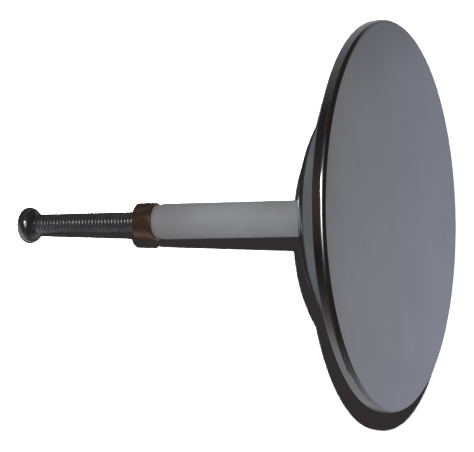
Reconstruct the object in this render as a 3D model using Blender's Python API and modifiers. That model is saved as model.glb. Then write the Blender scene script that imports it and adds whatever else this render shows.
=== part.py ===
# Bath drain valve: the lift-out plug of a pop-up bath waste.
#
# The valve stands as it does in use: the chrome cap on top, the stem pointing down, and its
# axis along Z. The origin is on the axis in the plane where the rubber cone meets the edge of
# the drain opening. All sizes are in metres.
#
# Main sizes: cap 71 mm across, 79 mm long, stem 6.8 mm, M6 stud with an M4 spigot, M4 screw.

import math

import bmesh
import bpy
from mathutils import Matrix

# Running gap left between two pieces that touch on the real valve.
GAP = 0.0003

# Polished cap, a pressed shell with a rolled edge and its rim turned down.
FACE_EDGE_Z = 0.0075
CAP_RADIUS = 0.0355
CAP_RISE = 0.0012
CAP_SHEET = 0.0008
EDGE_ROUND = 0.0007
RIM_DEPTH = 0.0024
RIM_TAPER = 0.0001
INSIDE_ROUND = 0.0003

# Brass stud soldered under the middle of the cap.
STUD_FLANGE_RADIUS = 0.0070
STUD_FLANGE_THICKNESS = 0.0012
STUD_RADIUS = 0.0030
SPIGOT_LENGTH = 0.0062
TIP_CHAMFER = 0.0005

# Chromed dish that holds the rubber ring from below.
DISH_DEPTH = 0.0045
DISH_RIM_RADIUS = 0.02035
DISH_FLARE = 0.00265
DISH_WALL_HEIGHT = 0.00185
DISH_SHEET = 0.0009
DISH_EDGE_ROUND = 0.00025
DISH_BULGE = 0.0002
RECESS_DEPTH = 0.0012
RECESS_SLOPE = 0.0006
RECESS_MARGIN = 0.0014

# Rubber ring whose cone closes the drain.
CONE_HEIGHT = 0.00655
CONE_FLARE = 0.0038
CONE_BULGE = 0.00015
SEAL_FOOT_WIDTH = 0.0037
SEAL_LIP_REACH = 0.0022
SEAL_LIP_THICKNESS = 0.0009
SEAL_HEAD_STEP = 0.0015
SEAL_HEAD_THICKNESS = 0.0010

# Moulded core that carries the ring and keeps cap and dish apart.
CORE_WALL = 0.0012
CORE_HUB_WALL = 0.0025
CORE_WEB = 0.0014
CORE_WEB_Z = 0.0018
CORE_RIBS = 6
CORE_RIB_WIDTH = 0.0012
CORE_RIB_HEIGHT = 0.0030

# Washers and nut on the stud under the dish.
SEAL_WASHER_RADIUS = 0.0065
SEAL_WASHER_THICKNESS = 0.0010
WASHER_RADIUS = 0.0070
WASHER_THICKNESS = 0.0010
CLAMP_NUT_FLATS = 0.0100
CLAMP_NUT_HEIGHT = 0.0026
CLAMP_NUT_CHAMFER = 0.0005

# Grey plastic stem.
STEM_RADIUS = 0.0034
STEM_LENGTH = 0.0313
STEM_CHAMFER = 0.0003
STEM_END_STEP = 0.0002
STEM_END_LENGTH = 0.0014

# Brass lock nut, M4, 7 mm across flats, its corners turned down to little more than that.
LOCK_NUT_FLATS = 0.0070
LOCK_NUT_RADIUS = 0.00372
LOCK_NUT_HEIGHT = 0.0038
LOCK_NUT_CHAMFER = 0.0001

# Steel adjusting screw, M4, with a mushroom head that rests on the lifter.
SCREW_RADIUS = 0.0020
SCREW_LENGTH = 0.0350
THREAD_SHOWN = 0.0220
HEAD_RADIUS = 0.0034
HEAD_CONE_HEIGHT = 0.00125
HEAD_BAND_HEIGHT = 0.0008
HEAD_BAND_TAPER = 0.00016
HEAD_DOME_HEIGHT = 0.0021
HEAD_TIP_RADIUS = 0.0009

# Steps round the axis, and how faces are joined and shaded.
CAP_STEPS = 80
RING_STEPS = 64
STEM_STEPS = 40
SMALL_STEPS = 32
MERGE_DISTANCE = 0.000001
SMOOTH_ANGLE = math.radians(35)


def cap_top_z(radius):
    """Height of the polished face at a distance from the axis."""
    face_radius = CAP_RADIUS - EDGE_ROUND
    return FACE_EDGE_Z + CAP_RISE * (1 - (radius / face_radius) ** 2)


def cap_underside_z(radius):
    """Height of the inside of the cap at a distance from the axis."""
    return cap_top_z(radius) - CAP_SHEET


def corner_radius(flats):
    """Radius over the corners of a hexagon, from its width across flats."""
    return flats / 2 / math.cos(math.pi / 6)


# Radii that follow from the sizes above.
STUD_BORE = STUD_RADIUS + GAP
SCREW_BORE = SCREW_RADIUS + GAP
DISH_BOTTOM_RADIUS = DISH_RIM_RADIUS - DISH_FLARE
RECESS_ROOF_RADIUS = WASHER_RADIUS + RECESS_MARGIN
RECESS_RADIUS = RECESS_ROOF_RADIUS + RECESS_SLOPE
CONE_FOOT_RADIUS = DISH_RIM_RADIUS
CONE_TOP_RADIUS = CONE_FOOT_RADIUS + CONE_FLARE
SEAL_BORE_RADIUS = CONE_FOOT_RADIUS - SEAL_FOOT_WIDTH
SEAL_NECK_RADIUS = CONE_TOP_RADIUS - SEAL_LIP_REACH
SEAL_HEAD_RADIUS = SEAL_NECK_RADIUS + SEAL_HEAD_STEP
CORE_RADIUS = SEAL_BORE_RADIUS - GAP
CORE_HUB_RADIUS = STUD_BORE + CORE_HUB_WALL

# Heights that follow from the sizes above, from the cap down.
STUD_FLANGE_TOP = cap_underside_z(STUD_FLANGE_RADIUS) - GAP
STUD_FLANGE_BOTTOM = STUD_FLANGE_TOP - STUD_FLANGE_THICKNESS
DISH_BOTTOM_Z = -DISH_DEPTH
DISH_RIM_Z = DISH_BOTTOM_Z + DISH_WALL_HEIGHT
DISH_FLOOR_Z = DISH_BOTTOM_Z + DISH_SHEET
RECESS_ROOF_Z = DISH_BOTTOM_Z + RECESS_DEPTH
RECESS_FLOOR_Z = RECESS_ROOF_Z + DISH_SHEET
SEAL_TOP_Z = cap_underside_z(SEAL_HEAD_RADIUS) - GAP
SEAL_FOOT_Z = DISH_RIM_Z + GAP
CONE_TOP_Z = SEAL_FOOT_Z + CONE_HEIGHT
SEAL_WASHER_TOP = RECESS_ROOF_Z - GAP
WASHER_TOP = SEAL_WASHER_TOP - SEAL_WASHER_THICKNESS - GAP
CLAMP_NUT_TOP = WASHER_TOP - WASHER_THICKNESS - GAP
CLAMP_NUT_BOTTOM = CLAMP_NUT_TOP - CLAMP_NUT_HEIGHT
STEM_TOP = CLAMP_NUT_BOTTOM - GAP
STEM_BOTTOM = STEM_TOP - STEM_LENGTH
LOCK_NUT_TOP = STEM_BOTTOM - GAP
LOCK_NUT_BOTTOM = LOCK_NUT_TOP - LOCK_NUT_HEIGHT
HEAD_UNDERSIDE_Z = LOCK_NUT_BOTTOM - THREAD_SHOWN


def make_collection(name):
    """New collection in the scene."""
    collection = bpy.data.collections.new(name)
    bpy.context.scene.collection.children.link(collection)
    return collection


def make_material(name, colour, roughness, metallic):
    """Principled material with a plain colour, given as linear RGB."""
    material = bpy.data.materials.new(name)
    material.use_nodes = True
    shader = material.node_tree.nodes["Principled BSDF"]
    shader.inputs["Base Color"].default_value = (*colour, 1)
    shader.inputs["Roughness"].default_value = roughness
    shader.inputs["Metallic"].default_value = metallic
    material.diffuse_color = (*colour, 1)
    return material


def arc(centre, radii, start, end, steps):
    """Points on an elliptic arc in the (radius, height) plane, angles in degrees from +X."""
    points = []
    for step in range(steps + 1):
        angle = math.radians(start + (end - start) * step / steps)
        radius = centre[0] + radii[0] * math.cos(angle)
        height = centre[1] + radii[1] * math.sin(angle)
        points.append((radius, height))
    return points


def bowed(start, end, bulge, steps):
    """Points from start to end along a shallow bow that stands out by bulge in the middle."""
    along = (end[0] - start[0], end[1] - start[1])
    length = math.hypot(*along)
    outward = (-along[1] / length, along[0] / length)
    points = []
    for step in range(steps + 1):
        share = step / steps
        height = bulge * 4 * share * (1 - share)
        points.append((start[0] + along[0] * share + outward[0] * height,
                       start[1] + along[1] * share + outward[1] * height))
    return points


def smooth(mesh):
    """Smooth shading with sharp edges where the surface turns."""
    mesh.shade_smooth()
    mesh.set_sharp_from_angle(angle=SMOOTH_ANGLE)


def turn_about_z(angle):
    """Rotation matrix about Z."""
    return Matrix.Rotation(angle, 3, "Z")


def turned(name, profile, steps, collection, origin_z=0.0, closed=False):
    """Solid of revolution about Z from (radius, height) points that run down the outer side.

    The heights are world heights, and the object's origin is on the axis at origin_z. A closed
    profile makes a ring, and an open one starts and ends on the axis.
    """
    mesh = bpy.data.meshes.new(name)
    vertices = [(radius, 0, height - origin_z) for radius, height in profile]
    edges = [(index, index + 1) for index in range(len(profile) - 1)]
    if closed:
        edges.append((len(profile) - 1, 0))
    mesh.from_pydata(vertices, edges, [])
    piece = bpy.data.objects.new(name, mesh)
    piece.location = (0, 0, origin_z)
    collection.objects.link(piece)
    screw = piece.modifiers.new("Turn", "SCREW")
    screw.axis = "Z"
    screw.angle = math.tau
    screw.steps = steps
    screw.render_steps = steps
    screw.use_merge_vertices = True
    screw.merge_threshold = MERGE_DISTANCE
    screw.use_smooth_shade = True
    return piece


def hexagon(name, flats, bottom, top, collection, origin_z):
    """Hexagonal bar with one flat facing -Y, its origin on the axis at origin_z."""
    mesh = bpy.data.meshes.new(name)
    solid = bmesh.new()
    bmesh.ops.create_cone(solid, cap_ends=True, segments=6, radius1=corner_radius(flats),
                          radius2=corner_radius(flats), depth=top - bottom)
    bmesh.ops.rotate(solid, verts=solid.verts, matrix=turn_about_z(math.radians(30)))
    bmesh.ops.translate(solid, verts=solid.verts, vec=(0, 0, (top + bottom) / 2 - origin_z))
    solid.to_mesh(mesh)
    solid.free()
    piece = bpy.data.objects.new(name, mesh)
    piece.location = (0, 0, origin_z)
    collection.objects.link(piece)
    return piece


def cut(piece, cutter, operation):
    """Boolean of a piece with a cutter, kept as a modifier."""
    modifier = piece.modifiers.new(cutter.name, "BOOLEAN")
    modifier.operation = operation
    modifier.solver = "EXACT"
    modifier.object = cutter


def as_cutter(piece):
    """Mark an object as a cutter that isn't part of the valve."""
    piece.hide_render = True
    piece.display_type = "WIRE"
    return piece


def cover_cap(parts):
    """Chromed pressed shell: a low dome, a rolled edge and a rim with a half-round lip."""
    rim_bottom = FACE_EDGE_Z - RIM_DEPTH
    face_radius = CAP_RADIUS - EDGE_ROUND
    inner = CAP_RADIUS - CAP_SHEET
    lip = CAP_SHEET / 2
    face_steps = 8
    profile = []
    for step in range(face_steps + 1):
        radius = face_radius * step / face_steps
        profile.append((radius, cap_top_z(radius)))
    profile += arc((face_radius, FACE_EDGE_Z - EDGE_ROUND), (EDGE_ROUND, EDGE_ROUND), 68, 0, 4)
    profile += arc((CAP_RADIUS - RIM_TAPER - lip, rim_bottom + lip), (lip, lip), 0, -180, 5)
    profile.append((inner, cap_underside_z(inner) - INSIDE_ROUND))
    inside_radius = inner - INSIDE_ROUND
    inside_steps = 4
    for step in range(inside_steps + 1):
        radius = inside_radius * (1 - step / inside_steps)
        profile.append((radius, cap_underside_z(radius)))
    return turned("cover_cap", profile, CAP_STEPS, parts)


def cap_stud(parts):
    """Brass stud: a flange under the cap, an M6 shank and a thinner spigot for the stem."""
    spigot_end = CLAMP_NUT_BOTTOM - SPIGOT_LENGTH
    profile = [
        (0, STUD_FLANGE_TOP),
        (STUD_FLANGE_RADIUS, STUD_FLANGE_TOP),
        (STUD_FLANGE_RADIUS, STUD_FLANGE_BOTTOM),
        (STUD_RADIUS, STUD_FLANGE_BOTTOM),
        (STUD_RADIUS, CLAMP_NUT_BOTTOM),
        (SCREW_RADIUS, CLAMP_NUT_BOTTOM),
        (SCREW_RADIUS, spigot_end + TIP_CHAMFER),
        (SCREW_RADIUS - TIP_CHAMFER, spigot_end),
        (0, spigot_end),
    ]
    return turned("cap_stud", profile, SMALL_STEPS, parts)


def seal_ring(parts):
    """Rubber ring: head against the cap, thin neck, lip, and the cone that closes the drain."""
    head_bottom = SEAL_TOP_Z - SEAL_HEAD_THICKNESS
    half_lip = SEAL_LIP_THICKNESS / 2
    profile = [(SEAL_BORE_RADIUS, SEAL_TOP_Z), (SEAL_HEAD_RADIUS, SEAL_TOP_Z)]
    profile += [(SEAL_HEAD_RADIUS, head_bottom), (SEAL_NECK_RADIUS, head_bottom)]
    profile += [(SEAL_NECK_RADIUS, CONE_TOP_Z + half_lip)]
    profile += arc((CONE_TOP_RADIUS, CONE_TOP_Z), (half_lip, half_lip), 90, -30, 4)
    profile += bowed((CONE_TOP_RADIUS, CONE_TOP_Z - SEAL_LIP_THICKNESS),
                     (CONE_FOOT_RADIUS, SEAL_FOOT_Z), CONE_BULGE, 4)
    profile += [(SEAL_BORE_RADIUS, SEAL_FOOT_Z)]
    return turned("seal_ring", profile, RING_STEPS, parts, closed=True)


def seal_core(parts, cutters):
    """Moulded core: a hub round the stud, a web and an outer wall, with ribs under the web."""
    hub_top = STUD_FLANGE_BOTTOM - GAP
    hub_bottom = RECESS_FLOOR_Z + GAP
    wall_top = cap_underside_z(CORE_RADIUS) - GAP
    wall_bottom = DISH_FLOOR_Z + GAP
    inner = CORE_RADIUS - CORE_WALL
    web_top = CORE_WEB_Z + CORE_WEB
    profile = [
        (STUD_BORE, hub_top),
        (CORE_HUB_RADIUS, hub_top),
        (CORE_HUB_RADIUS, web_top),
        (inner, web_top),
        (inner, wall_top),
        (CORE_RADIUS, wall_top),
        (CORE_RADIUS, wall_bottom),
        (inner, wall_bottom),
        (inner, CORE_WEB_Z),
        (CORE_HUB_RADIUS, CORE_WEB_Z),
        (CORE_HUB_RADIUS, hub_bottom),
        (STUD_BORE, hub_bottom),
    ]
    core = turned("seal_core", profile, RING_STEPS, parts, closed=True)
    overlap = CORE_WALL / 2
    rib_inner = CORE_HUB_RADIUS - overlap
    rib_outer = inner + overlap
    rib_size = (rib_outer - rib_inner, CORE_RIB_WIDTH, CORE_RIB_HEIGHT + overlap)
    rib_centre = ((rib_outer + rib_inner) / 2, 0, CORE_WEB_Z + (overlap - CORE_RIB_HEIGHT) / 2)
    for index in range(CORE_RIBS):
        mesh = bpy.data.meshes.new("core_rib_%d" % index)
        solid = bmesh.new()
        bmesh.ops.create_cube(solid, size=1)
        bmesh.ops.scale(solid, verts=solid.verts, vec=rib_size)
        bmesh.ops.translate(solid, verts=solid.verts, vec=rib_centre)
        bmesh.ops.rotate(solid, verts=solid.verts,
                         matrix=turn_about_z(math.tau * (index + 0.5) / CORE_RIBS))
        solid.to_mesh(mesh)
        solid.free()
        rib = as_cutter(bpy.data.objects.new(mesh.name, mesh))
        cutters.objects.link(rib)
        cut(core, rib, "UNION")
    return core


def retainer_dish(parts):
    """Chromed dish: an outer wall that slopes in, a flat bottom and a raised middle."""
    wall_foot = (DISH_BOTTOM_RADIUS + DISH_EDGE_ROUND, DISH_BOTTOM_Z + DISH_EDGE_ROUND / 2)
    profile = [(DISH_RIM_RADIUS - DISH_SHEET, DISH_RIM_Z)]
    profile += bowed((DISH_RIM_RADIUS, DISH_RIM_Z), wall_foot, DISH_BULGE, 4)
    profile += [(DISH_BOTTOM_RADIUS, DISH_BOTTOM_Z)]
    profile += [(RECESS_RADIUS, DISH_BOTTOM_Z), (RECESS_ROOF_RADIUS, RECESS_ROOF_Z)]
    profile += [(STUD_BORE, RECESS_ROOF_Z), (STUD_BORE, RECESS_FLOOR_Z)]
    profile += [(RECESS_RADIUS, RECESS_FLOOR_Z), (RECESS_RADIUS + RECESS_SLOPE, DISH_FLOOR_Z)]
    profile += [(DISH_BOTTOM_RADIUS - DISH_SHEET, DISH_FLOOR_Z)]
    return turned("retainer_dish", profile, RING_STEPS, parts, closed=True)


def washer(name, radius, top, thickness, parts):
    """Plain washer on the stud."""
    bottom = top - thickness
    profile = [(STUD_BORE, top), (radius, top), (radius, bottom), (STUD_BORE, bottom)]
    return turned(name, profile, SMALL_STEPS, parts, closed=True)


def nut(name, flats, bottom, top, outline, bore, parts, cutters):
    """Hexagon nut: a bar trimmed by a turned outline, with a plain bore, its origin at the top."""
    piece = hexagon(name, flats, bottom, top, parts, top)
    trim = as_cutter(turned(name + "_trim", outline, SMALL_STEPS, cutters))
    hole_profile = [(0, top + GAP), (bore, top + GAP), (bore, bottom - GAP), (0, bottom - GAP)]
    hole = as_cutter(turned(name + "_hole", hole_profile, SMALL_STEPS, cutters))
    cut(piece, trim, "INTERSECT")
    cut(piece, hole, "DIFFERENCE")
    return piece


def clamp_nut(parts, cutters):
    """Brass nut that clamps the dish, with both ends chamfered at about 30 degrees."""
    corner = corner_radius(CLAMP_NUT_FLATS)
    end_radius = corner - 2 * CLAMP_NUT_CHAMFER
    outer = corner + CLAMP_NUT_CHAMFER
    drop = 1.7 * CLAMP_NUT_CHAMFER
    outline = [
        (0, CLAMP_NUT_TOP + GAP),
        (end_radius, CLAMP_NUT_TOP + GAP),
        (end_radius, CLAMP_NUT_TOP),
        (outer, CLAMP_NUT_TOP - drop),
        (outer, CLAMP_NUT_BOTTOM + drop),
        (end_radius, CLAMP_NUT_BOTTOM),
        (end_radius, CLAMP_NUT_BOTTOM - GAP),
        (0, CLAMP_NUT_BOTTOM - GAP),
    ]
    return nut("clamp_nut", CLAMP_NUT_FLATS, CLAMP_NUT_BOTTOM, CLAMP_NUT_TOP, outline,
               STUD_BORE, parts, cutters)


def guide_stem(parts):
    """Grey plastic tube, chamfered at the top and drawn in slightly at its lower end."""
    end_radius = STEM_RADIUS - STEM_END_STEP
    profile = [
        (SCREW_BORE, STEM_TOP),
        (STEM_RADIUS - STEM_CHAMFER, STEM_TOP),
        (STEM_RADIUS, STEM_TOP - STEM_CHAMFER),
        (STEM_RADIUS, STEM_BOTTOM + STEM_END_LENGTH),
        (end_radius, STEM_BOTTOM + STEM_END_LENGTH / 3),
        (end_radius, STEM_BOTTOM),
        (SCREW_BORE, STEM_BOTTOM),
    ]
    return turned("guide_stem", profile, STEM_STEPS, parts, closed=True)


def lock_nut(parts, cutters):
    """Brass hexagon with its corners turned down round and both ends slightly chamfered."""
    end_radius = LOCK_NUT_RADIUS - LOCK_NUT_CHAMFER
    outline = [
        (0, LOCK_NUT_TOP + GAP),
        (end_radius, LOCK_NUT_TOP + GAP),
        (end_radius, LOCK_NUT_TOP),
        (LOCK_NUT_RADIUS, LOCK_NUT_TOP - LOCK_NUT_CHAMFER),
        (LOCK_NUT_RADIUS, LOCK_NUT_BOTTOM + LOCK_NUT_CHAMFER),
        (end_radius, LOCK_NUT_BOTTOM),
        (end_radius, LOCK_NUT_BOTTOM - GAP),
        (0, LOCK_NUT_BOTTOM - GAP),
    ]
    return nut("lock_nut", LOCK_NUT_FLATS, LOCK_NUT_BOTTOM, LOCK_NUT_TOP, outline,
               SCREW_BORE, parts, cutters)


def adjusting_screw(parts):
    """Steel screw: chamfered tip in the stem, plain shank for the thread, mushroom head."""
    tip = HEAD_UNDERSIDE_Z + SCREW_LENGTH
    cone_bottom = HEAD_UNDERSIDE_Z - HEAD_CONE_HEIGHT
    widest = cone_bottom - HEAD_BAND_HEIGHT
    dome_end = math.degrees(math.acos(HEAD_TIP_RADIUS / HEAD_RADIUS))
    profile = [
        (0, tip),
        (SCREW_RADIUS - TIP_CHAMFER, tip),
        (SCREW_RADIUS, tip - TIP_CHAMFER),
        (SCREW_RADIUS, HEAD_UNDERSIDE_Z),
        (HEAD_RADIUS - HEAD_BAND_TAPER, cone_bottom),
    ]
    profile += arc((0, widest), (HEAD_RADIUS, HEAD_DOME_HEIGHT), 0, -dome_end, 7)
    profile.append((0, profile[-1][1]))
    return turned("adjusting_screw", profile, SMALL_STEPS, parts, origin_z=HEAD_UNDERSIDE_Z)


def build():
    """Make every piece, shade it and give it its material."""
    for item in list(bpy.data.objects):
        bpy.data.objects.remove(item, do_unlink=True)
    parts = make_collection("bath_drain_valve")
    cutters = make_collection("cutters")
    chrome = (0.50, 0.505, 0.52)
    brass = (0.42, 0.27, 0.10)
    tarnished_brass = (0.22, 0.13, 0.07)
    steel = (0.30, 0.29, 0.28)
    grey_rubber = (0.12, 0.125, 0.13)
    black_rubber = (0.03, 0.03, 0.03)
    natural_plastic = (0.70, 0.70, 0.68)
    grey_plastic = (0.26, 0.265, 0.28)
    finishes = [
        (cover_cap(parts), chrome, 0.15, 1.0),
        (cap_stud(parts), brass, 0.35, 1.0),
        (seal_ring(parts), grey_rubber, 0.60, 0.0),
        (seal_core(parts, cutters), natural_plastic, 0.50, 0.0),
        (retainer_dish(parts), chrome, 0.15, 1.0),
        (washer("sealing_washer", SEAL_WASHER_RADIUS, SEAL_WASHER_TOP, SEAL_WASHER_THICKNESS,
                parts), black_rubber, 0.70, 0.0),
        (washer("flat_washer", WASHER_RADIUS, WASHER_TOP, WASHER_THICKNESS, parts),
         steel, 0.35, 1.0),
        (clamp_nut(parts, cutters), brass, 0.35, 1.0),
        (guide_stem(parts), grey_plastic, 0.45, 0.0),
        (lock_nut(parts, cutters), tarnished_brass, 0.35, 1.0),
        (adjusting_screw(parts), steel, 0.30, 1.0),
    ]
    for piece, colour, roughness, metallic in finishes:
        smooth(piece.data)
        material = make_material(piece.name + "_finish", colour, roughness, metallic)
        piece.data.materials.append(material)


build()
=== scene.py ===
import math

import bpy
from mathutils import Matrix


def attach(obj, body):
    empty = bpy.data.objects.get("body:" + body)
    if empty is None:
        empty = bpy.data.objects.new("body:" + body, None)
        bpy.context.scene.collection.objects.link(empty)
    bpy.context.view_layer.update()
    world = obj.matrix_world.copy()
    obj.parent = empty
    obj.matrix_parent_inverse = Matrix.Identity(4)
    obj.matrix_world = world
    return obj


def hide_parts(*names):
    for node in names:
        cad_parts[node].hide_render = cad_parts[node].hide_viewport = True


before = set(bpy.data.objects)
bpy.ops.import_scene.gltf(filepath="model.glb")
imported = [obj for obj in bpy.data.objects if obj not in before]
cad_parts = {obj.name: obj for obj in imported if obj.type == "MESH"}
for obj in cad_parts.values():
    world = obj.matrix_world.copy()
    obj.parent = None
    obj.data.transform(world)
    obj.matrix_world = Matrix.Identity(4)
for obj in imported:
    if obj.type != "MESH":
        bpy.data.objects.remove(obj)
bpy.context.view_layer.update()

# Sizes are in metres and mostly those of the CAD model. Here the small gaps between pieces are
# closed, the cap's edge is deeper, the dish has a bead, the lock nut is nearly round, and the
# screw has its thread and a fuller head.
FACE_EDGE_Z = 0.0075
CAP_RADIUS = 0.0355
CAP_RISE = 0.0012
CAP_SHEET = 0.0008
CAP_INNER_ROUND = 0.0005
EDGE_ROUND = 0.0007
EDGE_DEPTH = 0.0010
FACE_RADIUS = CAP_RADIUS - EDGE_ROUND
RIM_BOTTOM = 0.0051
RIM_TAPER = 0.0001

DISH_BOTTOM_Z = -0.0045
DISH_RIM_Z = -0.00265
DISH_RIM_RADIUS = 0.02035
DISH_BOTTOM_RADIUS = 0.0177
DISH_WALL_BULGE = 0.0002
DISH_SHEET = 0.0009
DISH_BEVEL = 0.0001
BEAD_RADIUS = 0.00011
BEAD_OFFSET = 0.00016
RECESS_ROOF_Z = -0.0033
RECESS_ROOF_RADIUS = 0.0084
RECESS_RADIUS = 0.0090
STUD_BORE = 0.0033
STUD_RADIUS = 0.0030

SEAL_BORE_RADIUS = 0.01665
CONE_TOP_RADIUS = 0.02415
CONE_TOP_Z = 0.0042
CONE_BULGE = 0.00015
SEAL_LIP = 0.00045
SEAL_NECK_RADIUS = 0.02195
SEAL_HEAD_RADIUS = 0.02345
SEAL_HEAD_HEIGHT = 0.0011
SEAL_HEAD_ROUND = 0.0002

CLAMP_NUT_TOP = -0.0062
CLAMP_NUT_BOTTOM = -0.0088
CLAMP_NUT_FLATS = 0.0100
CLAMP_NUT_FACE_RADIUS = 0.0040
WASHER_TOP = -0.0049
WASHER_BOTTOM = -0.0059
WASHER_RADIUS = 0.0070
WASHER_ROUND = 0.00025

STEM_RADIUS = 0.0034
STEM_TOP = -0.0091
STEM_BOTTOM = -0.0404
STEM_END_ROUND = 0.0003
STEM_END_STEP = 0.0002
STEM_END_LENGTH = 0.0014
STEM_END_BULGE = 0.00004
LOCK_NUT_TOP = -0.0407
LOCK_NUT_BOTTOM = -0.0445
LOCK_NUT_FLATS = 0.0072
LOCK_NUT_RADIUS = 0.00364
LOCK_NUT_FACE_RADIUS = 0.0030
LOCK_NUT_CHAMFER = 0.00014
NUT_ROUNDING = 0.00005
NUT_STEPS = 180

SCREW_RADIUS = 0.0020
SCREW_CHAMFER = 0.0005
SCREW_STEPS = 48
THREAD_PITCH = 0.0007
THREAD_DEPTH = 0.00007
THREAD_RUNOUT = 0.0009
THREAD_ROWS_PER_TURN = 12
HEAD_UNDERSIDE_Z = -0.0665
SCREW_TIP_Z = -0.0315
HEAD_RADIUS = 0.0034
HEAD_WIDEST_Z = -0.06870
HEAD_SHOULDER = 0.0030
HEAD_SHOULDER_EXTRA_RISE = 0.0003
HEAD_DOME_END_DEGREES = 75
HEAD_TIP_Z = -0.070575
HEAD_TIP_RADIUS = 0.00070

# The floor lies just below the screw's lowest reach, 5.6 mm under its place at rest.
FLOOR_Z = HEAD_TIP_Z - 0.0058
FLOOR_RADIUS = 4.0
FLOOR_FADE_START = 0.30
FLOOR_FADE_END = 0.60
CARD_BASE_Z = HEAD_TIP_Z - 0.00002
CARD_STEP = 0.000005
FAR_CARD_START = 0.27
ROOM_RADIUS = 0.9
STRIP_DISTANCE = 0.8
STRIP_FOOT = 0.09
STRIP_TOP = 0.31
WINDOW_PLACE = (-0.232, -0.713, 0.05)
WINDOW_RADIUS = 0.070
LAMP_SIZE = 0.9
FLOOR_LAMP_PLACE = (-0.0087, -0.3477, 0.1335)
FLOOR_LAMP_RADIUS = 0.0004

# Scratches on the face, each as its two ends and its width.
FACE_SCRATCHES = [
    ((0.0320, 0.0024), (0.0315, 0.0050), 0.00013),
    ((0.0315, 0.0050), (0.0318, 0.0076), 0.00012),
    ((0.0312, 0.0092), (0.0314, 0.0116), 0.00009),
    ((-0.0140, 0.0120), (-0.0124, 0.0131), 0.00006),
    ((0.0060, -0.0210), (0.0076, -0.0214), 0.00006),
]
SCRATCH_WOBBLE = 0.00012
HAIRLINE_DEPTH = 0.0000012
DARKER_END_LENGTH = 0.014
RUBBED_EDGE = 0.0005

# Most values of a noise texture lie in the first of these ranges.
NOISE_RANGE = (0.3, 0.7)
FULL_RANGE = (0.0, 1.0)


def arc(centre, radii, start, end, steps):
    """Points on an elliptic arc in the (radius, height) plane, angles in degrees from +X."""
    points = []
    for step in range(steps + 1):
        angle = math.radians(start + (end - start) * step / steps)
        points.append((centre[0] + radii[0] * math.cos(angle),
                       centre[1] + radii[1] * math.sin(angle)))
    return points


def bowed(start, end, bulge, steps):
    """Points from start to end along a shallow bow that stands out by bulge in the middle."""
    along = (end[0] - start[0], end[1] - start[1])
    length = math.hypot(*along)
    outward = (-along[1] / length, along[0] / length)
    points = []
    for step in range(steps + 1):
        share = step / steps
        height = bulge * 4 * share * (1 - share)
        points.append((start[0] + along[0] * share + outward[0] * height,
                       start[1] + along[1] * share + outward[1] * height))
    return points


def ring_of(radius_at, height, steps):
    """One level ring of points whose radius is a function of the angle."""
    points = []
    for step in range(steps):
        angle = math.tau * step / steps
        radius = radius_at(angle)
        points.append((radius * math.sin(angle), -radius * math.cos(angle), height))
    return points


def circle(radius, height, steps=96):
    """Level circle of points round the axis."""
    return ring_of(lambda angle: radius, height, steps)


def ring_mesh(name, rings, closed=False, sharp=30):
    """Mesh over rings of points. A ring of one point is a pole, and a closed mesh joins up."""
    vertices = []
    starts = []
    for ring in rings:
        starts.append(len(vertices))
        vertices.extend(ring)
    faces = []
    pairs = list(range(len(rings) - 1))
    if closed:
        pairs.append(len(rings) - 1)
    for index in pairs:
        first = rings[index]
        following = (index + 1) % len(rings)
        second = rings[following]
        count = max(len(first), len(second))
        for here in range(count):
            after = (here + 1) % count
            if len(first) == 1:
                face = (starts[index], starts[following] + here, starts[following] + after)
            elif len(second) == 1:
                face = (starts[index] + after, starts[index] + here, starts[following])
            else:
                face = (starts[index] + after, starts[index] + here,
                        starts[following] + here, starts[following] + after)
            faces.append(face)
    mesh = bpy.data.meshes.new(name)
    mesh.from_pydata(vertices, [], faces)
    mesh.validate()
    mesh.shade_smooth()
    mesh.set_sharp_from_angle(angle=math.radians(sharp))
    piece = bpy.data.objects.new(name, mesh)
    bpy.context.scene.collection.objects.link(piece)
    return piece


def turned(name, profile, steps, closed=False):
    """Solid of revolution from (radius, height) points that run down the outer side."""
    rings = []
    for radius, height in profile:
        rings.append([(0, 0, height)] if radius == 0 else circle(radius, height, steps))
    return ring_mesh(name, rings, closed)


def soft_least(first, second, rounding):
    """The lesser of two lengths, with a rounded change from one to the other."""
    return -math.log(math.exp(-first / rounding) + math.exp(-second / rounding)) * rounding


def hexagon_radius(angle, flats, rounding):
    """Distance from the axis to a hexagon with rounded corners, one flat facing -Y."""
    half_side = math.radians(30)
    from_middle = (angle + half_side) % (2 * half_side) - half_side
    flat = flats / 2 / math.cos(from_middle)
    corner = flats / 2 / math.cos(half_side) - rounding
    return soft_least(flat, corner, rounding)


def hex_nut(name, flats, outline, bore):
    """Hexagon nut: its side is the lesser of the hexagon and a turned outline, softly joined."""
    rings = []
    for radius, height in outline:
        def side(angle, limit=radius):
            return soft_least(hexagon_radius(angle, flats, NUT_ROUNDING), limit, NUT_ROUNDING)
        rings.append(ring_of(side, height, NUT_STEPS))
    for radius, height in bore:
        rings.append(circle(radius, height, NUT_STEPS))
    return ring_mesh(name, rings, closed=True, sharp=35)


def thread_radius(phase):
    """Radius of the screw at a share of the pitch: rolled thread with round crest and root."""
    return SCREW_RADIUS - THREAD_DEPTH * (0.5 - 0.5 * math.cos(math.tau * phase))


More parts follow.
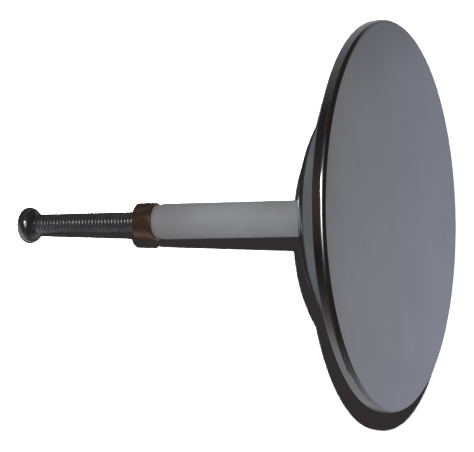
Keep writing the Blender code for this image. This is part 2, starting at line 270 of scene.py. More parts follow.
def make_screw():
    """Adjusting screw: mushroom head at the bottom and a right-hand M4 thread above it."""
    length = SCREW_TIP_Z - HEAD_UNDERSIDE_Z
    shank = SCREW_RADIUS - THREAD_DEPTH / 2
    rings = [[(0, 0, SCREW_TIP_Z)]]
    rows = int(length / THREAD_PITCH * THREAD_ROWS_PER_TURN)
    for row in range(rows + 1):
        height = SCREW_TIP_Z - length * row / rows
        tip_limit = SCREW_RADIUS - SCREW_CHAMFER + (SCREW_TIP_Z - height)
        runout = min(max((height - HEAD_UNDERSIDE_Z) / THREAD_RUNOUT, 0.0), 1.0)

        def radius_at(angle, z=height, limit=tip_limit, share=runout):
            threaded = thread_radius(z / THREAD_PITCH - angle / math.tau)
            return min(limit, shank + (threaded - shank) * share)
        rings.append(ring_of(radius_at, height, SCREW_STEPS))
    rise = HEAD_UNDERSIDE_Z - HEAD_WIDEST_Z + HEAD_SHOULDER_EXTRA_RISE
    head = arc((HEAD_RADIUS - HEAD_SHOULDER, HEAD_WIDEST_Z), (HEAD_SHOULDER, rise), 58, 4, 14)
    dome = (HEAD_WIDEST_Z - HEAD_TIP_Z) / math.sin(math.radians(HEAD_DOME_END_DEGREES))
    head += arc((0, HEAD_WIDEST_Z), (HEAD_RADIUS, dome), 0, -HEAD_DOME_END_DEGREES, 18)
    head += [(HEAD_TIP_RADIUS, HEAD_TIP_Z), (HEAD_TIP_RADIUS / 2, HEAD_TIP_Z)]
    for radius, height in head:
        rings.append(circle(radius, height, SCREW_STEPS))
    rings.append([(0, 0, HEAD_TIP_Z)])
    return ring_mesh("screw", rings, sharp=40)


def math_node(tree, operation, first, second=None, third=None):
    """Math node on outputs or plain numbers."""
    node = tree.nodes.new("ShaderNodeMath")
    node.operation = operation
    for index, item in enumerate((first, second, third)):
        if item is None:
            continue
        if isinstance(item, (int, float)):
            node.inputs[index].default_value = item
        else:
            tree.links.new(item, node.inputs[index])
    return node.outputs["Value"]


def ramp_node(tree, value, stops):
    """Colour ramp over a value. A stop is a position with a linear colour or a grey level."""
    ramp = tree.nodes.new("ShaderNodeValToRGB")
    elements = ramp.color_ramp.elements
    while len(elements) < len(stops):
        elements.new(1.0)
    for element, (position, colour) in zip(elements, stops):
        if isinstance(colour, float):
            colour = (colour, colour, colour)
        element.position = position
        element.color = (*colour, 1)
    tree.links.new(value, ramp.inputs["Fac"])
    return ramp.outputs["Color"]


def mix_node(tree, factor, first, second):
    """Colour between two colours, each an output or a linear colour."""
    node = tree.nodes.new("ShaderNodeMix")
    node.data_type = "RGBA"
    for name, item in (("Factor", factor), ("A", first), ("B", second)):
        target = [socket for socket in node.inputs if socket.name == name and socket.enabled][0]
        if isinstance(item, tuple):
            target.default_value = (*item, 1)
        else:
            tree.links.new(item, target)
    return [socket for socket in node.outputs if socket.enabled][0]


def place_axes(tree):
    """Object coordinates of a point, split into X, Y and Z."""
    place = tree.nodes.new("ShaderNodeTexCoord")
    separate = tree.nodes.new("ShaderNodeSeparateXYZ")
    tree.links.new(place.outputs["Object"], separate.inputs["Vector"])
    return separate.outputs


class Nodes:
    """A material's node tree with short calls for the nodes that the finishes use."""

    def __init__(self, name, roughness, metallic=0.0, specular=0.5):
        self.material = bpy.data.materials.new(name)
        self.material.use_nodes = True
        self.tree = self.material.node_tree
        self.shader = self.tree.nodes["Principled BSDF"]
        self.shader.inputs["Roughness"].default_value = roughness
        self.shader.inputs["Metallic"].default_value = metallic
        self.shader.inputs["Specular IOR Level"].default_value = specular
        self.place = self.tree.nodes.new("ShaderNodeTexCoord").outputs["Object"]

    def link(self, source, target):
        """Link an output to an input."""
        self.tree.links.new(source, target)

    def noise(self, scale, detail=4.0, rough=0.55, vector=None):
        """Noise texture, as a value from 0 to 1. The scale is in features per metre."""
        texture = self.tree.nodes.new("ShaderNodeTexNoise")
        texture.inputs["Scale"].default_value = scale
        texture.inputs["Detail"].default_value = detail
        texture.inputs["Roughness"].default_value = rough
        self.link(vector or self.place, texture.inputs["Vector"])
        return texture.outputs["Fac"]

    def streaks(self, scales, detail):
        """Noise with its own number of features per metre along each axis."""
        mapping = self.tree.nodes.new("ShaderNodeMapping")
        mapping.inputs["Scale"].default_value = scales
        self.link(self.place, mapping.inputs["Vector"])
        return self.noise(1.0, detail, 0.5, mapping.outputs["Vector"])

    def ramp(self, value, stops):
        """Colour ramp over a value. A stop is a position with a linear colour."""
        return ramp_node(self.tree, value, stops)

    def between(self, value, source_range, target_range):
        """Value mapped from one range to another and clamped."""
        mapped = self.tree.nodes.new("ShaderNodeMapRange")
        mapped.inputs["From Min"].default_value = source_range[0]
        mapped.inputs["From Max"].default_value = source_range[1]
        mapped.inputs["To Min"].default_value = target_range[0]
        mapped.inputs["To Max"].default_value = target_range[1]
        self.link(value, mapped.inputs["Value"])
        return mapped.outputs["Result"]

    def calculate(self, operation, first, second=None, third=None):
        """Math node on outputs or plain numbers."""
        return math_node(self.tree, operation, first, second, third)

    def weighted(self, first, share, second):
        """Sum of a share of one value and the rest of another."""
        rest = self.calculate("MULTIPLY", second, 1 - share)
        return self.calculate("MULTIPLY_ADD", first, share, rest)

    def mix(self, factor, first, second):
        """Colour between two colours, each an output or a linear colour."""
        return mix_node(self.tree, factor, first, second)

    def colour(self, source):
        """Send a colour to the shader."""
        self.link(source, self.shader.inputs["Base Color"])

    def roughness(self, source):
        """Send a roughness to the shader."""
        self.link(source, self.shader.inputs["Roughness"])

    def bump(self, height, distance, strength=0.5):
        """Bump from a height, distance in metres. Repeated calls add up."""
        node = self.tree.nodes.new("ShaderNodeBump")
        node.inputs["Distance"].default_value = distance
        node.inputs["Strength"].default_value = strength
        self.link(height, node.inputs["Height"])
        normal = self.shader.inputs["Normal"]
        if normal.is_linked:
            self.link(normal.links[0].from_socket, node.inputs["Normal"])
        self.link(node.outputs["Normal"], normal)

    def grain(self, scale, detail, distance, strength=0.5):
        """Bump from a fine noise."""
        self.bump(self.noise(scale, detail), distance, strength)


def scratch_mask(nodes, strokes):
    """Mask of short straight strokes on the face. A stroke is its two ends and its width."""
    axes = place_axes(nodes.tree)
    wobble_range = (-SCRATCH_WOBBLE, SCRATCH_WOBBLE)
    wobble = nodes.between(nodes.noise(900.0, detail=2.0), NOISE_RANGE, wobble_range)
    total = None
    for (x0, y0), (x1, y1), width in strokes:
        length = math.hypot(x1 - x0, y1 - y0)
        ux = (x1 - x0) / length
        uy = (y1 - y0) / length
        dx = nodes.calculate("SUBTRACT", axes["X"], x0)
        dy = nodes.calculate("SUBTRACT", axes["Y"], y0)
        along = nodes.calculate("MULTIPLY_ADD", dx, ux, nodes.calculate("MULTIPLY", dy, uy))
        across = nodes.calculate("MULTIPLY_ADD", dx, -uy, nodes.calculate("MULTIPLY", dy, ux))
        bent = nodes.calculate("ABSOLUTE", nodes.calculate("ADD", across, wobble))
        thin = nodes.between(bent, (width / 4, width), (1.0, 0.0))
        middle = nodes.calculate("ABSOLUTE", nodes.calculate("SUBTRACT", along, length / 2))
        ends = nodes.between(middle, (length * 0.25, length * 0.55), (1.0, 0.0))
        stroke = nodes.calculate("MULTIPLY", thin, ends)
        total = stroke if total is None else nodes.calculate("MAXIMUM", total, stroke)
    return total


def cap_chrome():
    """Polished plate: faint mottling, fine hairlines in two directions and a few scratches."""
    nodes = Nodes("cap_chrome", roughness=0.14, metallic=1.0)
    mottle = nodes.noise(95.0, detail=5.0, rough=0.6)
    tone = nodes.weighted(mottle, 0.6, nodes.noise(22.0, detail=2.0, rough=0.5))
    plain = nodes.ramp(tone, [(0.36, (0.475, 0.478, 0.490)), (0.64, (0.515, 0.518, 0.532))])
    marks = scratch_mask(nodes, FACE_SCRATCHES)
    nodes.colour(nodes.mix(marks, plain, (0.86, 0.86, 0.88)))
    smudge = nodes.between(nodes.noise(60.0, detail=4.0), (0.35, 0.7), (0.105, 0.165))
    nodes.roughness(nodes.calculate("MULTIPLY_ADD", marks, 0.25, smudge))
    hair_x = nodes.streaks((9000.0, 260.0, 260.0), detail=2.0)
    hair_y = nodes.streaks((300.0, 8000.0, 300.0), detail=2.0)
    nodes.bump(nodes.between(hair_x, (0.60, 0.80), FULL_RANGE), HAIRLINE_DEPTH)
    nodes.bump(nodes.between(hair_y, (0.62, 0.82), FULL_RANGE), HAIRLINE_DEPTH)
    nodes.grain(420.0, detail=3.0, distance=0.000003)
    return nodes.material


def dish_chrome():
    """Thinner plate than the cap's, slightly uneven, with dull spots of lime."""
    nodes = Nodes("dish_chrome", roughness=0.18, metallic=1.0)
    spots = nodes.noise(240.0, detail=5.0, rough=0.65)
    nodes.colour(nodes.ramp(spots, [
        (0.38, (0.42, 0.43, 0.445)),
        (0.60, (0.50, 0.505, 0.52)),
        (0.78, (0.62, 0.62, 0.61)),
    ]))
    nodes.roughness(nodes.between(spots, (0.4, 0.75), (0.10, 0.28)))
    nodes.grain(1500.0, detail=3.0, distance=0.000005, strength=0.6)
    return nodes.material


def grey_rubber():
    """Smooth moulded rubber, matte, with a dusty tone and a fine skin."""
    nodes = Nodes("seal_rubber", roughness=0.55, specular=0.15)
    dust = nodes.noise(130.0, detail=5.0, rough=0.6)
    nodes.colour(nodes.ramp(dust, [
        (0.35, (0.100, 0.104, 0.112)),
        (0.55, (0.118, 0.123, 0.132)),
        (0.75, (0.145, 0.150, 0.158)),
    ]))
    nodes.roughness(nodes.between(nodes.noise(500.0, detail=3.0), NOISE_RANGE, (0.48, 0.66)))
    nodes.grain(2600.0, detail=4.0, distance=0.000008, strength=0.6)
    return nodes.material


def stem_plastic():
    """Satin grey plastic: slight mottling, faint draw lines and a colour that turns darker toward
    the lock nut.
    """
    nodes = Nodes("stem_plastic", roughness=0.45, specular=0.45)
    lines = nodes.streaks((2600.0, 2600.0, 60.0), detail=3.0)
    tone = nodes.weighted(nodes.noise(140.0, detail=4.0, rough=0.6), 0.82, lines)
    plain = nodes.ramp(tone, [(0.36, (0.262, 0.266, 0.280)), (0.64, (0.298, 0.302, 0.318))])
    uneven = nodes.between(nodes.noise(260.0, detail=3.0), NOISE_RANGE, (-0.002, 0.002))
    height = nodes.calculate("ADD", place_axes(nodes.tree)["Z"], uneven)
    # Over its last stretch toward the lock nut the colour turns darker.
    darker_end = nodes.between(height, (STEM_BOTTOM, STEM_BOTTOM + DARKER_END_LENGTH), (0.75, 0.0))
    nodes.colour(nodes.mix(darker_end, plain, (0.190, 0.188, 0.190)))
    nodes.roughness(nodes.between(nodes.noise(420.0, detail=4.0), NOISE_RANGE, (0.38, 0.56)))
    nodes.bump(nodes.between(lines, (0.35, 0.65), FULL_RANGE), distance=0.000002)
    return nodes.material


def core_plastic():
    """Natural moulded plastic of the hidden core."""
    nodes = Nodes("core_plastic", roughness=0.5, specular=0.4)
    nodes.colour(nodes.ramp(nodes.noise(160.0), [
        (0.3, (0.62, 0.62, 0.59)),
        (0.7, (0.74, 0.74, 0.71)),
    ]))
    nodes.grain(1800.0, detail=3.0, distance=0.000008)
    return nodes.material


def brass(name, dark, light, roughness, metallic=1.0):
    """Turned brass with tarnish in patches and fine turning rings."""
    nodes = Nodes(name, roughness, metallic)
    patches = nodes.noise(330.0, detail=6.0, rough=0.65)
    nodes.colour(nodes.ramp(patches, [(0.34, dark), (0.62, light)]))
    nodes.roughness(nodes.between(patches, NOISE_RANGE, (roughness + 0.10, roughness - 0.08)))
    nodes.bump(nodes.streaks((40.0, 40.0, 9000.0), detail=2.0), distance=0.000006, strength=0.6)
    nodes.grain(2400.0, detail=4.0, distance=0.000008)
    return nodes.material


def steel(name, dark, light, roughness, metallic=1.0, smooth_below=-1.0):
    """Dull steel with dirt in patches and a fine grain, rubbed smooth below a height."""
    nodes = Nodes(name, roughness, metallic)
    patches = nodes.noise(420.0, detail=6.0, rough=0.65)
    nodes.colour(nodes.ramp(patches, [(0.36, dark), (0.66, light)]))
    dull = nodes.between(patches, NOISE_RANGE, (roughness + 0.12, roughness - 0.06))
    height = place_axes(nodes.tree)["Z"]
    rubbed = nodes.between(height, (smooth_below - RUBBED_EDGE, smooth_below), (0.42, 1.0))
    nodes.roughness(nodes.calculate("MULTIPLY", dull, rubbed))
    nodes.grain(3000.0, detail=4.0, distance=0.000002)
    return nodes.material


def black_rubber():
    """Black rubber of the small sealing washer."""
    nodes = Nodes("washer_rubber", roughness=0.65, specular=0.3)
    nodes.colour(nodes.ramp(nodes.noise(500.0), [
        (0.3, (0.018, 0.018, 0.019)),
        (0.7, (0.036, 0.036, 0.037)),
    ]))
    nodes.grain(3000.0, detail=3.0, distance=0.00001)
    return nodes.material


def give(piece, material):
    """Give a piece one material."""
    piece.data.materials.clear()
    piece.data.materials.append(material)


def cap_top_z(radius):
    """Height of the polished face at a distance from the axis."""
    return FACE_EDGE_Z + CAP_RISE * (1 - (radius / FACE_RADIUS) ** 2)


def make_cap():
    """Pressed cap: dome, rolled edge, rim with a half-round lip, and the hollow underside."""
    face_steps = 32
    underside_steps = 16
    lip = CAP_SHEET / 2
    profile = []
    for step in range(face_steps + 1):
        radius = FACE_RADIUS * step / face_steps
        profile.append((radius, cap_top_z(radius)))
    profile += arc((FACE_RADIUS, FACE_EDGE_Z - EDGE_DEPTH), (EDGE_ROUND, EDGE_DEPTH), 84, 0, 18)
    profile += arc((CAP_RADIUS - RIM_TAPER - lip, RIM_BOTTOM + lip), (lip, lip), 0, -180, 12)
    inside = CAP_RADIUS - CAP_SHEET - CAP_INNER_ROUND
    profile += arc((inside, cap_top_z(inside) - CAP_SHEET - CAP_INNER_ROUND),
                   (CAP_INNER_ROUND, CAP_INNER_ROUND), 0, 80, 6)
    for step in range(underside_steps + 1):
        radius = inside * (1 - step / underside_steps)
        profile.append((radius, cap_top_z(radius) - CAP_SHEET))
    return turned("cap", profile, 256)


def make_seal():
    """Rubber ring: head, neck, lip and cone, its foot resting in the dish."""
    top = cap_top_z(SEAL_HEAD_RADIUS) - CAP_SHEET
    head_side = SEAL_HEAD_RADIUS - SEAL_HEAD_ROUND
    head_bottom = top - SEAL_HEAD_HEIGHT
    cone_start = (CONE_TOP_RADIUS + 0.00003, CONE_TOP_Z - 2 * SEAL_LIP)
    cone_end = (DISH_RIM_RADIUS + 0.00004, DISH_RIM_Z + 0.0001)
    foot_z = DISH_RIM_Z - 0.00001
    profile = [(SEAL_BORE_RADIUS, top), (head_side, top)]
    profile += arc((head_side, top - 2 * SEAL_HEAD_ROUND),
                   (SEAL_HEAD_ROUND, SEAL_HEAD_ROUND), 45, -45, 3)
    profile += [(head_side, head_bottom), (SEAL_NECK_RADIUS, head_bottom - 0.0001)]
    profile += [(SEAL_NECK_RADIUS, CONE_TOP_Z + SEAL_LIP + 0.0001)]
    profile += arc((CONE_TOP_RADIUS, CONE_TOP_Z), (SEAL_LIP, SEAL_LIP), 100, -35, 10)
    profile += bowed(cone_start, cone_end, CONE_BULGE, 12)
    profile += [(DISH_RIM_RADIUS - 0.0003, foot_z), (SEAL_BORE_RADIUS, foot_z)]
    return turned("rubber_seal", profile, 192, closed=True)


def make_dish():
    """Chromed dish with a fine bead round its bottom edge and a recess in the middle."""
    wall_top = (DISH_RIM_RADIUS, DISH_RIM_Z - DISH_BEVEL)
    wall_foot = (DISH_BOTTOM_RADIUS + 0.00028, DISH_BOTTOM_Z + 0.00026)
    bead_centre = (DISH_BOTTOM_RADIUS + BEAD_OFFSET, DISH_BOTTOM_Z + BEAD_RADIUS)
    bottom_flat = DISH_BOTTOM_RADIUS - 0.0006
    profile = [(DISH_RIM_RADIUS - DISH_SHEET, DISH_RIM_Z)]
    profile += [(DISH_RIM_RADIUS - DISH_BEVEL, DISH_RIM_Z)]
    profile += bowed(wall_top, wall_foot, DISH_WALL_BULGE, 14)
    profile += arc(bead_centre, (BEAD_RADIUS, BEAD_RADIUS), 40, -90, 10)
    profile += [(bottom_flat, DISH_BOTTOM_Z), (RECESS_RADIUS + DISH_BEVEL, DISH_BOTTOM_Z)]
    profile += [(RECESS_RADIUS, DISH_BOTTOM_Z + DISH_BEVEL)]
    profile += [(RECESS_ROOF_RADIUS + DISH_BEVEL, RECESS_ROOF_Z - DISH_BEVEL)]
    profile += [(RECESS_ROOF_RADIUS - DISH_BEVEL, RECESS_ROOF_Z)]
    profile += [(STUD_BORE, RECESS_ROOF_Z), (STUD_BORE, RECESS_ROOF_Z + DISH_SHEET)]
    profile += [(RECESS_RADIUS, RECESS_ROOF_Z + DISH_SHEET)]
    profile += [(RECESS_RADIUS + 0.0006, DISH_BOTTOM_Z + DISH_SHEET)]
    profile += [(DISH_BOTTOM_RADIUS - DISH_SHEET, DISH_BOTTOM_Z + DISH_SHEET)]
    return turned("dish", profile, 192, closed=True)


def make_stem():
    """Plastic tube with softened ends, drawn in slightly where the lock nut meets it."""
    bore = SCREW_RADIUS + 0.00005
    lower = LOCK_NUT_TOP + 0.00001
    shoulder = STEM_RADIUS - STEM_END_ROUND
    drawn_in = STEM_RADIUS - STEM_END_STEP
    profile = [(bore, STEM_TOP), (shoulder, STEM_TOP)]
    profile += arc((shoulder, STEM_TOP - STEM_END_ROUND),
                   (STEM_END_ROUND, STEM_END_ROUND), 80, 0, 6)
    end_top = STEM_BOTTOM + STEM_END_LENGTH
    profile += [(STEM_RADIUS, end_top + 0.0002)]
    profile += bowed((STEM_RADIUS, end_top), (drawn_in, STEM_BOTTOM + 0.0005), STEM_END_BULGE, 6)
    profile += [(drawn_in, lower + 0.0001), (shoulder, lower), (bore, lower)]
    return turned("stem", profile, 96, closed=True)


def make_lock_nut():
    """Hexagon lock nut, its corners turned down round and its ends slightly chamfered."""
    edge = LOCK_NUT_CHAMFER
    top_edge = edge + 0.00010
    thread = SCREW_RADIUS + 0.00004
    outline = [(LOCK_NUT_FACE_RADIUS, LOCK_NUT_TOP)]
    outline += arc((LOCK_NUT_RADIUS - top_edge, LOCK_NUT_TOP - edge), (top_edge, edge), 85, 5, 5)
    outline += [(LOCK_NUT_RADIUS, (LOCK_NUT_TOP + LOCK_NUT_BOTTOM) / 2)]
    outline += arc((LOCK_NUT_RADIUS - edge, LOCK_NUT_BOTTOM + edge), (edge, edge), -5, -85, 5)
    outline += [(LOCK_NUT_FACE_RADIUS, LOCK_NUT_BOTTOM)]
    lead_in = 0.00028
    bore = [(thread + lead_in, LOCK_NUT_BOTTOM), (thread, LOCK_NUT_BOTTOM + lead_in),
            (thread, LOCK_NUT_TOP - 0.00020), (thread + 0.00021, LOCK_NUT_TOP)]
    return hex_nut("lock_nut_brass", LOCK_NUT_FLATS, outline, bore)


def make_clamp_nut():
    """Hexagon nut on the stud with both ends chamfered."""
    corner = CLAMP_NUT_FLATS / 2 / math.cos(math.pi / 6)
    past_corner = corner + 0.0003
    chamfer = [(corner - 0.0010, 0.0), (corner - 0.0004, 0.00035), (past_corner, 0.0008)]
    outline = [(CLAMP_NUT_FACE_RADIUS, CLAMP_NUT_TOP)]
    outline += [(radius, CLAMP_NUT_TOP - depth) for radius, depth in chamfer]
    outline += [(past_corner, (CLAMP_NUT_TOP + CLAMP_NUT_BOTTOM) / 2)]
    outline += [(radius, CLAMP_NUT_BOTTOM + depth) for radius, depth in reversed(chamfer)]
    outline += [(CLAMP_NUT_FACE_RADIUS, CLAMP_NUT_BOTTOM)]
    thread = STUD_RADIUS + 0.00005
    lead_in = 0.0005
    bore = [(thread + lead_in, CLAMP_NUT_BOTTOM), (thread, CLAMP_NUT_BOTTOM + lead_in),
            (thread, CLAMP_NUT_TOP - 0.0004), (thread + 0.00035, CLAMP_NUT_TOP)]
    return hex_nut("clamp_nut_brass", CLAMP_NUT_FLATS, outline, bore)


def make_washer():
    """Stamped steel washer with one rounded edge and one sharp edge."""
    bore = STUD_RADIUS + 0.0001
    bore_bevel = 0.0002
    edge_bevel = 0.00005
    profile = [(bore, WASHER_TOP), (WASHER_RADIUS - edge_bevel, WASHER_TOP)]
    profile += [(WASHER_RADIUS, WASHER_TOP - edge_bevel)]
    profile += arc((WASHER_RADIUS - WASHER_ROUND, WASHER_BOTTOM + WASHER_ROUND),
                   (WASHER_ROUND, WASHER_ROUND), 0, -90, 6)
    profile += [(bore + bore_bevel, WASHER_BOTTOM), (bore, WASHER_BOTTOM + bore_bevel)]
    return turned("washer", profile, 96, closed=True)


chrome = cap_chrome()
dull_brass = brass("nut_brass", (0.25, 0.15, 0.07), (0.42, 0.28, 0.12), roughness=0.36)
brown_brass = brass("lock_nut_brass", (0.225, 0.142, 0.090), (0.315, 0.205, 0.134),
                    roughness=0.24, metallic=0.90)
dark_steel = steel("screw_steel", (0.20, 0.20, 0.205), (0.30, 0.30, 0.305),
                   roughness=0.26, metallic=0.92, smooth_below=HEAD_UNDERSIDE_Z)
zinc = steel("washer_steel", (0.24, 0.24, 0.235), (0.38, 0.375, 0.365), roughness=0.40)

dressed = [
    (make_cap(), "cover_cap", "plug_body", "cap_chrome", chrome),
    (make_seal(), "seal_ring", "plug_body", "seal_rubber", grey_rubber()),
    (make_dish(), "retainer_dish", "plug_body", "dish_chrome", dish_chrome()),
    (make_stem(), "guide_stem", "plug_body", "stem_plastic", stem_plastic()),
    (make_clamp_nut(), "clamp_nut", "plug_body", "nut_brass", dull_brass),
    (make_washer(), "flat_washer", "plug_body", "washer_steel", zinc),
    (make_lock_nut(), "lock_nut", "lock_nut_body", "lock_nut_brass", brown_brass),
    (make_screw(), "adjusting_screw", "screw_body", "screw_steel", dark_steel),
]
lamp_receivers = bpy.data.collections.new("lit_by_soft_lamps")
for piece, node, body, slot, material in dressed:
    give(piece, material)
    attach(piece, body)
    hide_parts(node)
    give(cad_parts[node], material)
    lamp_receivers.objects.link(piece)

hidden_inside = [
    ("cap_stud", dull_brass),
    ("seal_core", core_plastic()),
    ("sealing_washer", black_rubber()),
]
for node, material in hidden_inside:
    give(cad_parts[node], material)
    lamp_receivers.objects.link(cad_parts[node])


def emission(tree, colour, strength):
    """Emission node with a plain colour."""
    node = tree.nodes.new("ShaderNodeEmission")
    node.inputs["Color"].default_value = (*colour, 1)
    node.inputs["Strength"].default_value = strength
    return node


def mix_shader(tree, factor, first, second):
    """Mix of two shaders."""
    node = tree.nodes.new("ShaderNodeMixShader")
    tree.links.new(factor, node.inputs["Fac"])
    tree.links.new(first, node.inputs[1])
    tree.links.new(second, node.inputs[2])
    return node.outputs["Shader"]


def stage_piece(name, rings, material):
    """Mesh of the stage, which isn't part of the object."""
    piece = ring_mesh(name, rings)
    give(piece, material)
    return piece


def disc(radius, height):
    """Rings of a flat disc round the axis."""
    return [[(0, 0, height)], circle(radius, height)]


def floor_material():
    """Pale floor. Where rays see it far from the object, it fades to plain white."""
    material = bpy.data.materials.new("floor")
    material.use_nodes = True
    tree = material.node_tree
    tree.nodes.clear()
    diffuse = tree.nodes.new("ShaderNodeBsdfDiffuse")
    diffuse.inputs["Color"].default_value = (0.9, 0.9, 0.9, 1)
    white = emission(tree, (1, 1, 1), 1.0)
    place = tree.nodes.new("ShaderNodeTexCoord")
    length = tree.nodes.new("ShaderNodeVectorMath")
    length.operation = "LENGTH"
    tree.links.new(place.outputs["Object"], length.inputs[0])
    far = tree.nodes.new("ShaderNodeMapRange")
    far.interpolation_type = "SMOOTHSTEP"
    far.inputs["From Min"].default_value = FLOOR_FADE_START
    far.inputs["From Max"].default_value = FLOOR_FADE_END
    tree.links.new(length.outputs["Value"], far.inputs["Value"])
    path = tree.nodes.new("ShaderNodeLightPath")
    other = math_node(tree, "SUBTRACT", 1.0, path.outputs["Is Camera Ray"])
    share = math_node(tree, "MAXIMUM", far.outputs["Result"], other)
    output = tree.nodes.new("ShaderNodeOutputMaterial")
    shader = mix_shader(tree, share, diffuse.outputs["BSDF"], white.outputs["Emission"])
    tree.links.new(shader, output.inputs["Surface"])
    return material


def card_material(name, colour=(1, 1, 1), strength=1.0):
    """Glowing material of a card that only metal sees, with its tree and its emission node."""
    material = bpy.data.materials.new(name)
    material.use_nodes = True
    tree = material.node_tree
    tree.nodes.clear()
    output = tree.nodes.new("ShaderNodeOutputMaterial")
    glow = emission(tree, colour, strength)
    tree.links.new(glow.outputs["Emission"], output.inputs["Surface"])
    return material, tree, glow


def plain_card_material(name, colour=(1, 1, 1), strength=1.0):
    """Glowing material of a card in one colour."""
    return card_material(name, colour, strength)[0]


def bearing(tree):
    """Bearing of a point round the axis, from 0 to 1: 0.5 at -Y, 0.75 at +X, 0 and 1 at +Y."""
    axes = place_axes(tree)
    toward_front = math_node(tree, "MULTIPLY", axes["Y"], -1.0)
    angle = math_node(tree, "ARCTAN2", axes["X"], toward_front)
    return math_node(tree, "MULTIPLY_ADD", angle, 1 / math.tau, 0.5)


def floor_card_material():
    """What metal sees low down: brown in front, grey to the sides, partly dark behind, where a
    painted shadow stands for the object's shadow on the floor.
    """
    material, tree, glow = card_material("floor_card")
    tone = ramp_node(tree, bearing(tree), [
        (0.00, (0.36, 0.36, 0.38)),
        (0.12, (0.30, 0.30, 0.32)),
        (0.20, (0.195, 0.195, 0.205)),
        (0.285, (0.092, 0.094, 0.098)),
        (0.34, (0.023, 0.022, 0.025)),
        (0.39, (0.032, 0.028, 0.028)),
        (0.46, (0.066, 0.046, 0.041)),
        (0.50, (0.052, 0.038, 0.030)),
        (0.555, (0.019, 0.013, 0.014)),
        (0.61, (0.040, 0.033, 0.034)),
        (0.66, (0.120, 0.113, 0.120)),
        (0.715, (0.280, 0.275, 0.300)),
        (0.78, (0.300, 0.305, 0.320)),
        (0.865, (0.310, 0.315, 0.330)),
        # From 0.90 to 0.97 the card is dark: a painted reflection of the object's shadow on the
        # floor.
        (0.90, (0.150, 0.152, 0.158)),
        (0.93, (0.085, 0.085, 0.090)),
        (0.97, (0.085, 0.085, 0.090)),
        (1.00, (0.36, 0.36, 0.38)),
    ])
    tree.links.new(tone, glow.inputs["Color"])
    return material


def room_card_material():
    """What metal sees above the floor: a grey wall behind, dark overhead and to the front."""
    material, tree, glow = card_material("room_card")
    height = math_node(tree, "MULTIPLY", place_axes(tree)["Z"], 1 / ROOM_RADIUS)
    wall = ramp_node(tree, height, [
        (0.18, (0.315, 0.345, 0.410)),
        (0.20, (0.358, 0.384, 0.452)),
        (0.24, (0.368, 0.376, 0.445)),
        (0.34, (0.376, 0.371, 0.440)),
        (0.39, (0.357, 0.359, 0.404)),
        (0.44, (0.370, 0.374, 0.396)),
        (0.475, (0.372, 0.375, 0.396)),
        (0.50, (0.322, 0.325, 0.345)),
        (0.557, (0.275, 0.279, 0.300)),
        (0.62, (0.180, 0.182, 0.195)),
        (0.72, (0.036, 0.029, 0.025)),
    ])
    side = ramp_node(tree, bearing(tree), [
        (0.00, 0.93), (0.007, 0.88), (0.022, 0.81), (0.030, 0.60), (0.10, 0.45), (0.16, 0.0),
        (0.70, 0.0), (0.78, 0.30), (0.84, 0.60), (0.96, 0.98), (0.985, 1.0), (1.00, 0.93),
    ])
    colour = mix_node(tree, side, (0.031, 0.025, 0.022), wall)
    tree.links.new(colour, glow.inputs["Color"])
    return material


def strip_card_material():
    """Pale window in front of the object, soft at both sides."""
    material, tree, glow = card_material("light_strip", strength=3.4)
    tone = ramp_node(tree, bearing(tree), [
        (0.361, 0.0), (0.411, 0.07), (0.43, 0.20), (0.444, 0.42), (0.465, 1.0), (0.50, 0.90),
        (0.515, 0.62), (0.533, 0.30), (0.55, 0.10), (0.575, 0.03), (0.61, 0.0),
    ])
    tree.links.new(tone, glow.inputs["Color"])
    return material


def glossy_only(piece):
    """Let a card show in reflections only."""
    piece.visible_camera = False
    piece.visible_diffuse = False
    piece.visible_shadow = False
    piece.visible_transmission = False
    piece.visible_volume_scatter = False


def layer_z(layer):
    """Height of a low card. Each layer is one small step above the one before."""
    return CARD_BASE_Z + layer * CARD_STEP


def disc_card(name, place, radius, layer, colour):
    """Round card just above the floor card, in one colour."""
    card = stage_piece(name, disc(radius, 0.0), plain_card_material(name, colour))
    card.location = (*place, layer_z(layer))
    return card


def room_rings():
    """Rings of the room's dome, from near the low cards up to its top."""
    rings = []
    for rise in range(-4, 90, 4):
        angle = math.radians(rise)
        rings.append(circle(ROOM_RADIUS * math.cos(angle), ROOM_RADIUS * math.sin(angle)))
    return rings + [[(0, 0, ROOM_RADIUS)]]


def swept_card(name, first, second, material, left, right, steps=24):
    """Card between two (radius, height) edges, swept from one bearing in degrees to another."""
    vertices = []
    for radius, height in (first, second):
        for step in range(steps + 1):
            angle = math.radians(left + (right - left) * step / steps)
            vertices.append((radius * math.sin(angle), -radius * math.cos(angle), height))
    count = steps + 1
    faces = [(i, i + 1, count + i + 1, count + i) for i in range(steps)]
    mesh = bpy.data.meshes.new(name)
    mesh.from_pydata(vertices, [], faces)
    piece = bpy.data.objects.new(name, mesh)
    bpy.context.scene.collection.objects.link(piece)
    give(piece, material)
    return piece


# The cards show in reflections only and stand for the room that the polished metal mirrors.
floor = stage_piece("floor", disc(FLOOR_RADIUS, FLOOR_Z), floor_material())
floor_card = stage_piece("floor_card", disc(ROOM_RADIUS, layer_z(1)), floor_card_material())
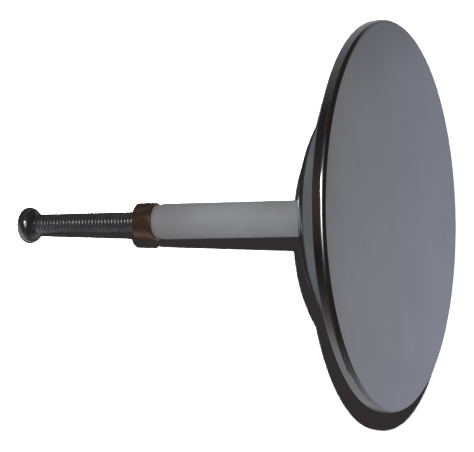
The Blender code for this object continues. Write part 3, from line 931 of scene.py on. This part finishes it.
# The shadow card is a painted shadow: a dark sheet where the object's shadow lies on the floor
# behind it, seen in reflections only.
shadow_card = disc_card("shadow_card", (-0.012, 0.083), radius=0.092, layer=2,
                        colour=(0.034, 0.031, 0.033))
pale_card = disc_card("pale_card", (0.0045, 0.0), radius=0.0062, layer=3,
                      colour=(0.48, 0.48, 0.52))
room_card = stage_piece("room_card", room_rings(), room_card_material())
light_strip = swept_card("light_strip", (STRIP_DISTANCE, STRIP_FOOT), (STRIP_DISTANCE, STRIP_TOP),
                         strip_card_material(), left=-50, right=40)
far_card = swept_card("far_card", (FAR_CARD_START, layer_z(2)), (ROOM_RADIUS, layer_z(2)),
                      plain_card_material("far_card", (0.016, 0.013, 0.012)), left=35, right=95)
window_card = stage_piece("window_card", disc(WINDOW_RADIUS, 0.0),
                          plain_card_material("window_card", strength=11.0))
window_card.location = WINDOW_PLACE
window_card.rotation_euler = window_card.location.to_track_quat("Z", "Y").to_euler()

for card in (floor_card, shadow_card, pale_card, far_card, room_card, light_strip, window_card):
    glossy_only(card)


def make_lamp(name, data, place, receivers):
    """Lamp that lights one collection only and doesn't show in reflections."""
    lamp = bpy.data.objects.new(name, data)
    lamp.location = place
    lamp.visible_glossy = False
    lamp.light_linking.receiver_collection = receivers
    bpy.context.scene.collection.objects.link(lamp)
    return lamp


def soft_lamp(name, place, energy):
    """Large square lamp that lights the object from one side."""
    data = bpy.data.lights.new(name, "AREA")
    data.shape = "SQUARE"
    data.size = LAMP_SIZE
    data.energy = energy
    lamp = make_lamp(name, data, place, lamp_receivers)
    lamp.rotation_euler = (-lamp.location).to_track_quat("-Z", "Y").to_euler()


def floor_lamp(energy, receivers):
    """Small lamp near the camera that gives the object its hard shadow on the floor."""
    data = bpy.data.lights.new("floor_lamp", "POINT")
    data.energy = energy
    data.shadow_soft_size = FLOOR_LAMP_RADIUS
    make_lamp("floor_lamp", data, FLOOR_LAMP_PLACE, receivers)


soft_lamp("front_lamp", (-0.20, -1.09, 0.42), energy=7.3)
soft_lamp("side_lamp", (0.85, 0.85, 0.45), energy=4.5)
soft_lamp("back_lamp", (-0.5, 1.2, 0.45), energy=8.0)
soft_lamp("top_lamp", (0.0, 0.1, 1.4), energy=5.0)
floor_only = bpy.data.collections.new("lit_by_floor_lamp")
floor_only.objects.link(floor)
floor_lamp(energy=76.0, receivers=floor_only)


def background(tree, colour, strength):
    """Background shader in a plain colour."""
    node = tree.nodes.new("ShaderNodeBackground")
    node.inputs["Color"].default_value = (*colour, 1)
    node.inputs["Strength"].default_value = strength
    return node.outputs["Background"]


def make_world():
    """White to the camera, metal and glass, with a faint warm fill on everything else."""
    world = bpy.data.worlds.new("studio")
    bpy.context.scene.world = world
    world.use_nodes = True
    tree = world.node_tree
    tree.nodes.clear()
    white = background(tree, (1, 1, 1), 1.0)
    fill = background(tree, (1, 0.86, 0.89), 0.034)
    path = tree.nodes.new("ShaderNodeLightPath")
    mirrored = math_node(tree, "MAXIMUM", path.outputs["Is Glossy Ray"],
                         path.outputs["Is Transmission Ray"])
    seen = math_node(tree, "MAXIMUM", path.outputs["Is Camera Ray"], mirrored)
    output = tree.nodes.new("ShaderNodeOutputWorld")
    tree.links.new(mix_shader(tree, seen, fill, white), output.inputs["Surface"])


make_world()

# The camera is fitted to the outlines of the cap, the stem and the screw in the photo.
camera_data = bpy.data.cameras.new("camera")
camera_data.sensor_width = 36.0
camera_data.lens = 151.9
camera_data.clip_start = 0.01
camera_data.clip_end = 20.0
camera = bpy.data.objects.new("camera", camera_data)
bpy.context.scene.collection.objects.link(camera)
camera.matrix_world = Matrix((
    (0.022846, -0.999736, -0.002548, 0.0002),
    (0.406700, 0.011622, -0.913488, -0.342231),
    (0.913276, 0.019833, 0.406859, 0.128309),
    (0.0, 0.0, 0.0, 1.0),
))
bpy.context.scene.camera = camera
bpy.context.scene.view_settings.view_transform = "Standard"
